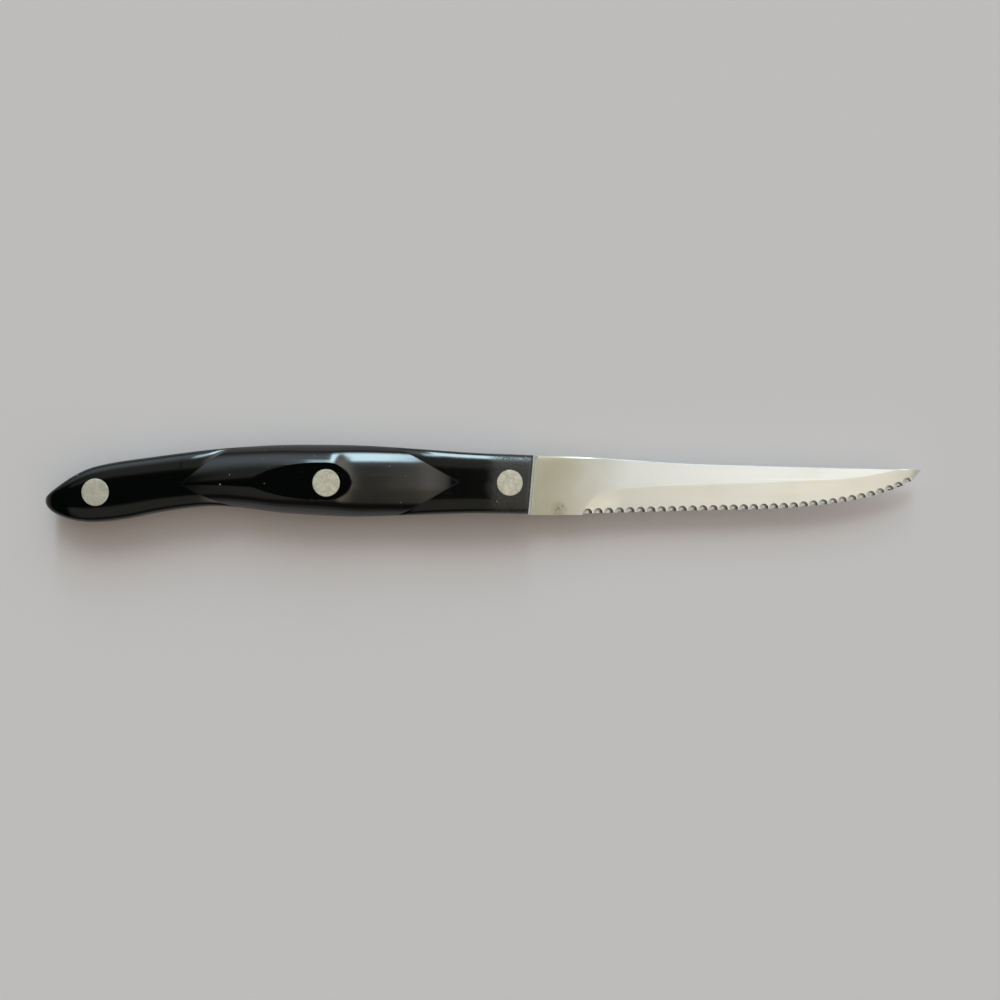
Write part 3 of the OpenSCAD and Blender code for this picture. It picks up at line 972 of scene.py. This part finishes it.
def fill(tree: NodeTree, node: Node, inputs: dict) -> None:
    """Sets a node's inputs, or links those that are given an output socket.

    Args:
        tree: The tree that the node is in.
        node: The node.
        inputs: Socket name or number to a value, or to an output socket that is linked to it.
    """
    for key, value in inputs.items():
        if isinstance(value, NodeSocket):
            tree.links.new(value, node.inputs[key])
        else:
            node.inputs[key].default_value = value


def add_node(tree: NodeTree, kind: str, inputs: dict | None = None, **settings: str | bool) -> Node:
    """Adds a node with its settings and links.

    Args:
        tree: The tree that the node goes into.
        kind: Its type, without the leading ShaderNode.
        inputs: Its inputs, in the way that fill takes them.
        settings: Attributes of the node.
    Returns:
        The node.
    """
    made = tree.nodes.new(f"ShaderNode{kind}")
    for name, value in settings.items():
        setattr(made, name, value)
    fill(tree, made, inputs or {})
    return made


def new_material(name: str) -> tuple[Material, NodeTree, Node, NodeSocket]:
    """A material with its tree, its Principled shader and the Object coordinates that patterns read."""
    material = bpy.data.materials.new(name)
    material.use_nodes = True
    tree = material.node_tree
    place = add_node(tree, "TexCoord").outputs["Object"]
    return material, tree, tree.nodes["Principled BSDF"], place


@dataclass(frozen=True)
class ResinFinish:
    """Black thermo resin, compression moulded and buffed: deep gloss with dust specks and handling scuffs.

    Its scratches are finer on a real handle, and drawn as wide as they need to show.
    """

    black: str = "#050606"
    speck_colour: str = "#8a8d8c"
    scuff_colour: str = "#282826"
    ior: float = 1.6
    roughness: float = 0.1
    scuffed_roughness: float = 0.48
    ripple_mm: float = 7.0
    ripple_depth_mm: float = 0.03
    ripple_strength: float = 0.5
    speck_cell_mm: float = 2.2
    speck_mm: float = 0.5
    speck_bar: float = 0.42
    speck_soft_share: float = 0.1
    scratch_mm: float = 0.12
    scratch_len_mm: float = 5.0
    scratch_turn_deg: float = 24.0
    scratch_span: tuple[float, float] = (0.68, 0.78)
    scratch_share: float = 0.3
    scuff_grain_mm: float = 0.35
    scuff_drift_mm: float = 5.0
    scuff_from_mm: float = 2.0
    scuff_full_mm: float = 7.0
    rub_span: tuple[float, float] = (0.22, 0.68)

    def material(self) -> Material:
        """Builds the material: gloss that is broken by fine rubs, specks and a scuffed front end."""
        material, tree, shader, place = new_material("black_moulded_resin")
        x = add_node(tree, "SeparateXYZ", {0: place}).outputs["X"]
        drift, grain, ripple = (
            add_node(tree, "TexNoise", {"Vector": place, "Scale": per_mm(size), "Detail": detail}).outputs[0]
            for size, detail in (
                (self.scuff_drift_mm, 3.0), (self.scuff_grain_mm, 5.0), (self.ripple_mm, 1.0)))
        along = add_node(tree, "Math", {0: drift, 1: self.scuff_drift_mm * MM, 2: x},
                         operation="MULTIPLY_ADD").outputs[0]
        front = add_node(tree, "MapRange", {0: along, 1: self.scuff_from_mm * MM, 2: self.scuff_full_mm * MM},
                         interpolation_type="SMOOTHSTEP").outputs[0]
        rubbed = add_node(tree, "MapRange", {0: grain, 1: self.rub_span[0], 2: self.rub_span[1]}).outputs[0]
        scuff = add_node(tree, "Math", {0: front, 1: rubbed}, operation="MULTIPLY").outputs[0]
        cells = add_node(tree, "TexVoronoi", {"Vector": place, "Scale": per_mm(self.speck_cell_mm)}).outputs
        size = self.speck_mm / self.speck_cell_mm
        edge = add_node(tree, "Math", {0: cells["Color"], 1: size, 2: -self.speck_bar * size},
                        operation="MULTIPLY_ADD").outputs[0]
        within = add_node(tree, "Math", {0: edge, 1: cells["Distance"]}, operation="SUBTRACT").outputs[0]
        speck = add_node(tree, "MapRange", {0: within, 1: 0.0, 2: self.speck_soft_share * size}).outputs[0]
        length = per_mm(self.scratch_len_mm)
        turned = add_node(tree, "Mapping", {0: place, 2: (0.0, 0.0, math.radians(self.scratch_turn_deg)),
                                            3: (length, per_mm(self.scratch_mm), length)}).outputs[0]
        lines = add_node(tree, "TexNoise", {"Vector": turned, "Scale": 1.0, "Detail": 1.0}).outputs[0]
        scratch = add_node(tree, "MapRange", {0: lines, 1: self.scratch_span[0],
                                              2: self.scratch_span[1]}).outputs[0]
        dusty = add_node(tree, "Mix", {0: scuff, 6: linear(self.black), 7: linear(self.scuff_colour)},
                         data_type="RGBA").outputs[2]
        colour = add_node(tree, "Mix", {0: speck, 6: dusty, 7: linear(self.speck_colour)},
                          data_type="RGBA").outputs[2]
        wear = add_node(tree, "Math", {0: scuff, 1: speck}, operation="MAXIMUM").outputs[0]
        worn = add_node(tree, "Math", {0: scratch, 1: self.scratch_share, 2: wear},
                        operation="MULTIPLY_ADD").outputs[0]
        rough = add_node(tree, "MapRange", {0: worn, 3: self.roughness, 4: self.scuffed_roughness}).outputs[0]
        bump = add_node(tree, "Bump", {"Height": ripple, "Strength": self.ripple_strength,
                                       "Distance": self.ripple_depth_mm * MM}).outputs[0]
        fill(tree, shader, {"Base Color": colour, "Roughness": rough, "Normal": bump, "IOR": self.ior})
        return material


@dataclass(frozen=True)
class SteelFinish:
    """High-carbon stainless steel, ground and glazed lengthwise: satin streaks, faint stain by the heel.

    The streaks are finer on a real blade, and drawn as wide as they need to show.
    """

    steel: str = "#e0e2e2"
    # Olive colour painted past the shoulder: a painted dim reflection of the room on the ricasso.
    dim_reflection_colour: str = "#b9b49c"
    stain_colour: str = "#8a6a4e"
    roughness: tuple[float, float] = (0.29, 0.37)
    streak_mm: float = 0.16
    streak_len_mm: float = 22.0
    streak_depth_mm: float = 0.01
    streak_strength: float = 0.2
    cloud_mm: float = 9.0
    cloud_share: float = 0.12
    dim_reflection_share: float = 0.85
    lean: float = 5.0
    shoulder_mm: float = 12.2
    dim_full_to_mm: float = 14.0
    undimmed_from_mm: float = 38.0
    stain_at: tuple[float, float, float] = (18.4, -6.5, 7.2)
    stain_mm: float = 2.3
    stain_grain_mm: float = 0.7
    stain_gain: float = 1.3

    def material(self) -> Material:
        """Builds the material: grinding streaks, cloudy random tone, an olive colour painted past the
        shoulder as the ricasso's dim reflection, and one brown stain.
        """
        material, tree, shader, place = new_material("ground_stainless_steel")
        low, high = NOISE_SPAN
        length, width = per_mm(self.streak_len_mm), per_mm(self.streak_mm)
        drawn = add_node(tree, "Mapping", {0: place, 3: (length, width, width)}).outputs[0]
        streaks = add_node(tree, "TexNoise", {"Vector": drawn, "Scale": 1.0, "Detail": 4.0}).outputs[0]
        clouds, spread = (
            add_node(tree, "TexNoise", {"Vector": place, "Scale": per_mm(size), "Detail": detail}).outputs[0]
            for size, detail in ((self.cloud_mm, 4.0), (self.stain_grain_mm, 3.0)))
        along = add_node(tree, "VectorMath", {0: place, 1: (1.0, -math.tan(math.radians(self.lean)), 0.0)},
                         operation="DOT_PRODUCT").outputs["Value"]
        # Painted dim reflection: the olive colour past the shoulder fades out towards the tip and stands in
        # for the ricasso's darker reflection. The cloud is the steel's own random tone.
        fading = add_node(tree, "MapRange", {0: along, 1: self.undimmed_from_mm * MM, 2: self.dim_full_to_mm * MM},
                          interpolation_type="SMOOTHSTEP").outputs[0]
        past = add_node(tree, "Math", {0: along, 1: self.shoulder_mm * MM},
                        operation="GREATER_THAN").outputs[0]
        ricasso = add_node(tree, "Math", {0: fading, 1: past}, operation="MULTIPLY").outputs[0]
        cloud = add_node(tree, "MapRange", {0: clouds, 1: low, 2: high, 3: -self.cloud_share,
                                            4: self.cloud_share}).outputs[0]
        dim_reflection_and_cloud = add_node(tree, "Math", {0: ricasso, 1: self.dim_reflection_share, 2: cloud},
                          operation="MULTIPLY_ADD", use_clamp=True).outputs[0]
        away = add_node(tree, "VectorMath", {0: place, 1: tuple(v * MM for v in self.stain_at)},
                        operation="DISTANCE").outputs["Value"]
        near = add_node(tree, "MapRange", {0: away, 1: self.stain_mm * MM, 2: 0.0}).outputs[0]
        patch = add_node(tree, "MapRange", {0: spread, 1: low, 2: high, 4: self.stain_gain}).outputs[0]
        stain = add_node(tree, "Math", {0: near, 1: patch}, operation="MULTIPLY", use_clamp=True).outputs[0]
        dimmed_steel = add_node(tree, "Mix", {0: dim_reflection_and_cloud, 6: linear(self.steel), 7: linear(self.dim_reflection_colour)},
                          data_type="RGBA").outputs[2]
        colour = add_node(tree, "Mix", {0: stain, 6: dimmed_steel, 7: linear(self.stain_colour)},
                          data_type="RGBA").outputs[2]
        rough = add_node(tree, "MapRange", {0: streaks, 1: low, 2: high, 3: self.roughness[0],
                                            4: self.roughness[1]}).outputs[0]
        bump = add_node(tree, "Bump", {"Height": streaks, "Strength": self.streak_strength,
                                       "Distance": self.streak_depth_mm * MM}).outputs[0]
        fill(tree, shader, {"Base Color": colour, "Roughness": rough, "Normal": bump, "Metallic": 1.0})
        return material


@dataclass(frozen=True)
class NickelSilverFinish:
    """Nickel silver rivet metal, ground flush and tarnished: a mottled warm grey with short random rubs."""

    bright: str = "#e8e1d0"
    tarnish: str = "#c4bdab"
    roughness: tuple[float, float] = (0.5, 0.62)
    mottle_mm: float = 1.1
    mottle_span: tuple[float, float] = (0.75, 1.3)
    pit_mm: float = 0.3
    pit_depth_mm: float = 0.02
    pit_strength: float = 0.25

    def material(self) -> Material:
        """Builds the material: two sizes of mottling that move both colour and roughness."""
        material, tree, shader, place = new_material("ground_nickel_silver")
        mottle, pits = (
            add_node(tree, "TexNoise", {"Vector": place, "Scale": per_mm(size), "Detail": detail}).outputs[0]
            for size, detail in ((self.mottle_mm, 3.0), (self.pit_mm, 2.0)))
        mixed = add_node(tree, "Math", {0: mottle, 1: pits}, operation="ADD").outputs[0]
        tone = add_node(tree, "MapRange", {0: mixed, 1: self.mottle_span[0],
                                           2: self.mottle_span[1]}).outputs[0]
        colour = add_node(tree, "Mix", {0: tone, 6: linear(self.bright), 7: linear(self.tarnish)},
                          data_type="RGBA").outputs[2]
        rough = add_node(tree, "MapRange", {0: tone, 3: self.roughness[0], 4: self.roughness[1]}).outputs[0]
        bump = add_node(tree, "Bump", {"Height": pits, "Strength": self.pit_strength,
                                       "Distance": self.pit_depth_mm * MM}).outputs[0]
        fill(tree, shader, {"Base Color": colour, "Roughness": rough, "Normal": bump, "Metallic": 1.0})
        return material


class Mixing(Enum):
    """How a patch of light goes onto the room behind it."""

    COVER = "MIX"
    ADD = "ADD"


@dataclass(frozen=True)
class LightPatch:
    """A soft-edged patch of the room's light.

    Each edge is a part of the direction (X right, Y beyond the spine, Z up), where the patch starts and
    where it is full.
    """

    colour: str
    strength: float
    mixing: Mixing
    edges: tuple[tuple[str, float, float], ...]

    def spread(self, tree: NodeTree, way: Node, behind: NodeSocket | tuple) -> NodeSocket:
        """Adds the patch to the room: the product of a smooth step at each edge mixes in its colour.

        Args:
            tree: The world's tree.
            way: The node that splits the direction into its parts.
            behind: The light so far.
        Returns:
            The light with the patch.
        """
        weight = 1.0
        for axis, start, full in self.edges:
            step = add_node(tree, "MapRange", {0: way.outputs[axis], 1: start, 2: full},
                            interpolation_type="SMOOTHSTEP").outputs[0]
            weight = add_node(tree, "Math", {0: step, 1: weight}, operation="MULTIPLY").outputs[0]
        light = tuple(self.strength * part for part in linear(self.colour))
        return add_node(tree, "Mix", {0: weight, 6: behind, 7: light}, data_type="RGBA",
                        blend_type=self.mixing.value).outputs[2]


@dataclass(frozen=True)
class Studio:
    """Plain pale floor, a soft room with one window beyond the spine, and the camera over the knife."""

    floor_colour: str = "#e4dad9"
    floor_size: float = 12.0
    floor_roughness: float = 0.8
    floor_gap: float = 0.0001
    room: str = "#8f8c84"
    patches: tuple[LightPatch, ...] = (
        LightPatch("#484540", 1.0, Mixing.COVER, (("Y", -0.62, -0.78), ("Z", 0.2, 0.42))),
        LightPatch("#dff1fb", 1.45, Mixing.COVER, (("Y", 0.3, 0.7), ("X", -0.8, -0.25), ("Z", 0.15, 0.6))),
        LightPatch("#141414", 1.0, Mixing.COVER, (("X", -0.27, -0.4), ("Y", 0.45, 0.25), ("Z", 0.25, 0.5))),
        LightPatch("#fff2d2", 1.75, Mixing.COVER, (("X", 0.0, 0.2), ("X", 0.5, 0.1), ("Z", 0.5, 0.8),
                                                  ("Y", -0.78, -0.6))),
        LightPatch("#ffffff", 2.1, Mixing.COVER, (("X", 0.0, 0.2), ("X", 0.5, 0.1), ("Z", 0.6, 0.85),
                                                  ("Y", -0.2, -0.03))),
        LightPatch("#0c0c0c", 1.0, Mixing.COVER, (("X", 0.035, 0.012), ("Z", 0.6, 0.7), ("Y", -0.14, -0.1),
                                                  ("Y", 0.13, 0.08))),
        LightPatch("#ffffff", 0.3, Mixing.ADD, (("X", 0.3, 0.8),)),
        LightPatch("#d2f1fd", 9.0, Mixing.COVER, (("X", -0.18, -0.1), ("X", 0.0, -0.03), ("Z", 0.66, 0.74),
                                                  ("Z", 0.9, 0.82), ("Y", 0.3, 0.45))),
        LightPatch("#d2f1fd", 17.0, Mixing.COVER, (("X", -0.06, -0.012), ("X", 0.07, 0.035), ("Z", 0.2, 0.5),
                                                   ("Z", 0.86, 0.74), ("Y", 0.3, 0.45))),
        LightPatch("#bdbbba", 1.0, Mixing.COVER, (("Z", 0.06, 0.03),)))
    view_size: float = 0.2467
    view_distance: float = 0.4
    view_centre: tuple[float, float] = (0.00377, -0.00407)
    sensor: float = 36.0

    def build(self, middle_z: float) -> None:
        """Sets up the floor, the room and the camera.

        Args:
            middle_z: Height of the blade's middle plane, at which the picture has its stated width.
        """
        self.floor()
        self.light()
        self.camera(middle_z)
        bpy.context.scene.view_settings.view_transform = "Standard"

    def floor(self) -> None:
        """A flat pale square just under the knife."""
        half = self.floor_size / 2
        corners = [(-half, -half), (half, -half), (half, half), (-half, half)]
        mesh = bpy.data.meshes.new("floor")
        mesh.from_pydata([(x, y, -self.floor_gap) for x, y in corners], [], [(0, 1, 2, 3)])
        plane = bpy.data.objects.new("floor", mesh)
        bpy.context.scene.collection.objects.link(plane)
        material, tree, shader, _place = new_material("pale_floor")
        fill(tree, shader, {"Base Color": linear(self.floor_colour), "Roughness": self.floor_roughness})
        mesh.materials.append(material)

    def light(self) -> None:
        """Lights the room patch by patch."""
        world = bpy.data.worlds.new("room")
        bpy.context.scene.world = world
        world.use_nodes = True
        tree = world.node_tree
        way = add_node(tree, "SeparateXYZ", {0: add_node(tree, "TexCoord").outputs["Generated"]})
        light = linear(self.room)
        for patch in self.patches:
            light = patch.spread(tree, way, light)
        tree.links.new(light, tree.nodes["Background"].inputs["Color"])

    def camera(self, middle_z: float) -> None:
        """A camera straight above, with the lens that gives the stated width at the knife."""
        data = bpy.data.cameras.new("camera")
        data.sensor_width = self.sensor
        data.lens = self.sensor * self.view_distance / self.view_size
        eye = bpy.data.objects.new("camera", data)
        bpy.context.scene.collection.objects.link(eye)
        eye.location = (*self.view_centre, middle_z + self.view_distance)
        bpy.context.scene.camera = eye


@dataclass(frozen=True)
class SteakKnife:
    """The whole knife: the form that its pieces fit, its rivets, and the finish of each piece."""

    form: HandleForm = HandleForm()
    # Place of each rivet, x of its axis and diameter of its head
    rivet_places: tuple[tuple[RivetPlace, float, float], ...] = (
        (RivetPlace.FRONT, 113.8, 6.35), (RivetPlace.MIDDLE, 69.2, 6.7), (RivetPlace.REAR, 12.8, 6.7))

    def seat(self, blade: Blade) -> Seat:
        """Where the knife lies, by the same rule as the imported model."""
        x = self.form.stations(blade.tang_steps)
        mid_y = (self.form.back(x).max() + self.form.belly(x).min()) / 2
        return Seat(blade.tip_x / 2, float(mid_y), self.form.land_z)

    def build(self) -> None:
        """Builds and dresses every piece, and says which CAD node each stands for."""
        blade = Blade(self.form)
        seat = self.seat(blade)
        rivets = tuple(Rivet(self.form, *place) for place in self.rivet_places)
        finishes = (SteelFinish(), ResinFinish(), NickelSilverFinish())
        steel, resin, nickel = (finish.material() for finish in finishes)
        self.place(blade.build(rivets, seat), "blade", Slot.STEEL, steel)
        for side in Side:
            piece = Scale(self.form, side).build(rivets, seat)
            self.place(piece, f"{side.name.lower()}_scale", Slot.RESIN, resin)
        for rivet in rivets:
            for half in RivetHalf:
                piece = rivet.build(half, seat)
                self.place(piece, f"{rivet.place.value}_rivet_{half.name.lower()}", Slot.RIVET, nickel)

    @staticmethod
    def place(piece: Object, node: str, slot: Slot, material: Material) -> None:
        """Dresses a piece and puts it in the place of its CAD node.

        Args:
            piece: The finished mesh object.
            node: The CAD node that it stands for.
            slot: The record's slot for its finish; not used.
            material: Its material.
        """
        piece.data.materials.append(material)
        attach(piece, BODY)
        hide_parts(node)
        LOG.info("%s stands for %s: %d faces", piece.name, node, len(piece.data.polygons))


def main() -> None:
    logging.basicConfig(level=logging.INFO, format="%(name)s: %(message)s")
    knife = SteakKnife()
    knife.build()
    Studio().build(knife.form.land_z * MM)


if __name__ == "__main__":
    main()
